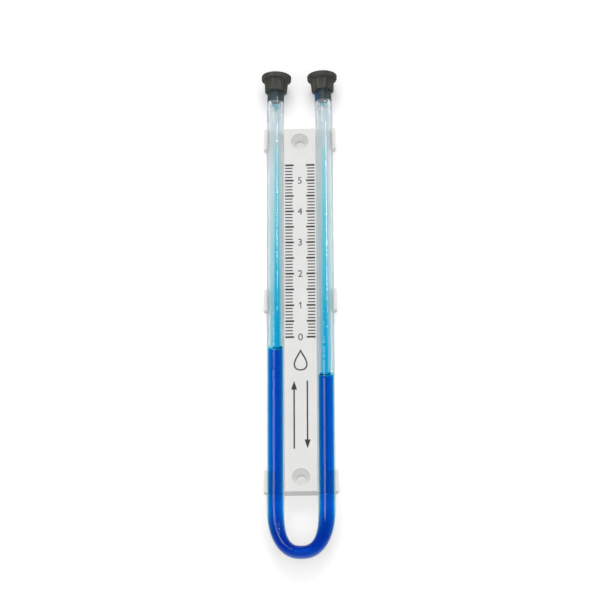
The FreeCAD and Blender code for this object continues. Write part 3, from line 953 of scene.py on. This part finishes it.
wall_foot = [(-STAGE_HALF, WALL_Y, FLOOR_Z), (STAGE_HALF, WALL_Y, FLOOR_Z)]
wall_top = [(STAGE_HALF, WALL_Y, WALL_TOP), (-STAGE_HALF, WALL_Y, WALL_TOP)]
floor_front = [(-STAGE_HALF, FLOOR_FRONT, FLOOR_Z), (STAGE_HALF, FLOOR_FRONT, FLOOR_Z)]
stage_plane("wall", wall_foot + wall_top)
stage_plane("floor", floor_front + wall_foot[::-1])


# Light: a pale room, four soft boxes that don't show in gloss, and two that only show in gloss and glass

# Strength of the room on matt surfaces, and the share by which it is brighter above and darker below
AMBIENT = 0.675
BRIGHTER_ABOVE = 0.12

# The room in mirrors: its grey, and its strengths where two shares of a direction point to the wall
MIRRORED_GREY = 0.8
MIRRORED_FROM = (0.3, 0.9)
MIRRORED_STRENGTH = (0.03, 0.6)


def background(tree, grey, strength):
    """A room of one grey, whose strength is a number or the output of another node"""
    node = tree.nodes.new("ShaderNodeBackground")
    node.inputs["Color"].default_value = (grey, grey, grey, 1)
    feed(tree, strength, node.inputs["Strength"])
    return node.outputs["Background"]


def make_room():
    """The world: nearly even on matt surfaces, white to the eye, and dark in mirrors except by the wall"""
    world = bpy.data.worlds.new("studio")
    bpy.context.scene.world = world
    world.use_nodes = True
    tree = world.node_tree
    tree.nodes.remove(tree.nodes["Background"])
    direction = axes(tree, "Generated")
    strengths = (AMBIENT * (1 - BRIGHTER_ABOVE), AMBIENT * (1 + BRIGHTER_ABOVE))
    room = background(tree, 1.0, map_range(tree, direction["Z"], (-1, 1), strengths))
    toward_wall = map_range(tree, direction["Y"], MIRRORED_FROM, MIRRORED_STRENGTH)
    mirrored_room = background(tree, MIRRORED_GREY, toward_wall)
    seen_room = background(tree, 1.0, 1.0)
    rays = tree.nodes.new("ShaderNodeLightPath").outputs
    mirrored = math_node(tree, "GREATER_THAN", rays["Glossy Depth"], 0.5)
    mirrored_through = math_node(tree, "MULTIPLY", rays["Is Transmission Ray"], mirrored)
    sees_mirror = math_node(tree, "MAXIMUM", rays["Is Glossy Ray"], mirrored_through)
    sees_room = math_node(tree, "MAXIMUM", rays["Is Camera Ray"], rays["Is Transmission Ray"])
    sees_white = math_node(tree, "MULTIPLY", sees_room, math_node(tree, "SUBTRACT", 1.0, mirrored))
    unseen = mix_shaders(tree, sees_mirror, room, mirrored_room)
    surface = mix_shaders(tree, sees_white, unseen, seen_room)
    tree.links.new(surface, tree.nodes["World Output"].inputs["Surface"])


def area_light(name, place, target, size, power, mirrored=False):
    """A soft box that points at a target; a mirrored one only shows in gloss and glass"""
    data = bpy.data.lights.new(name, "AREA")
    data.shape = "RECTANGLE"
    data.size, data.size_y = size
    data.energy = power
    lamp = bpy.data.objects.new(name, data)
    bpy.context.scene.collection.objects.link(lamp)
    lamp.location = place
    lamp.rotation_euler = (Vector(target) - Vector(place)).to_track_quat("-Z", "Y").to_euler()
    lamp.visible_glossy = mirrored
    lamp.visible_diffuse = not mirrored


make_room()
MIDDLE = (0, 0, 0)
area_light("key light", (0, -1.2, 1.35), MIDDLE, (0.9, 0.7), 9)
for side, name in ((-1, "left fill light"), (1, "right fill light")):
    area_light(name, (side * 0.65, -1.1, -0.45), MIDDLE, (0.8, 0.8), 1.55)
area_light("back light", (0.2, 1.5, 0.6), MIDDLE, (1.6, 1.6), 6)
area_light("strip light", (-0.50, -1.2, 0.06), (0, 0, 0.06), (0.6, 0.72), 2.6, mirrored=True)
area_light("glint light", (0.55, -1.18, 0.55), (0, 0, 0.05), (0.09, 0.16), 0.6, mirrored=True)


# Camera at the photograph's viewing angle, a little below the object and turned a touch in its own plane

CAMERA_AT = Vector((49.30, -1159.33, -407.45)) * MM
CAMERA_AIM = Vector((-0.157, -7.0, 2.763)) * MM
CAMERA_ROLL = math.radians(0.237)
CAMERA_LENS = 160.49

camera_data = bpy.data.cameras.new("camera")
camera_data.sensor_width = 36
camera_data.lens = CAMERA_LENS
camera_data.clip_end = 50
camera = bpy.data.objects.new("camera", camera_data)
bpy.context.scene.collection.objects.link(camera)
forward = (CAMERA_AIM - CAMERA_AT).normalized()
level_right = forward.cross(Vector((0, 0, 1))).normalized()
level_up = level_right.cross(forward)
right = level_right * math.cos(CAMERA_ROLL) - level_up * math.sin(CAMERA_ROLL)
up = level_right * math.sin(CAMERA_ROLL) + level_up * math.cos(CAMERA_ROLL)
turn = Matrix((right, up, -forward)).transposed().to_4x4()
camera.matrix_world = Matrix.Translation(CAMERA_AT) @ turn
bpy.context.scene.camera = camera
bpy.context.scene.view_settings.view_transform = "Standard"
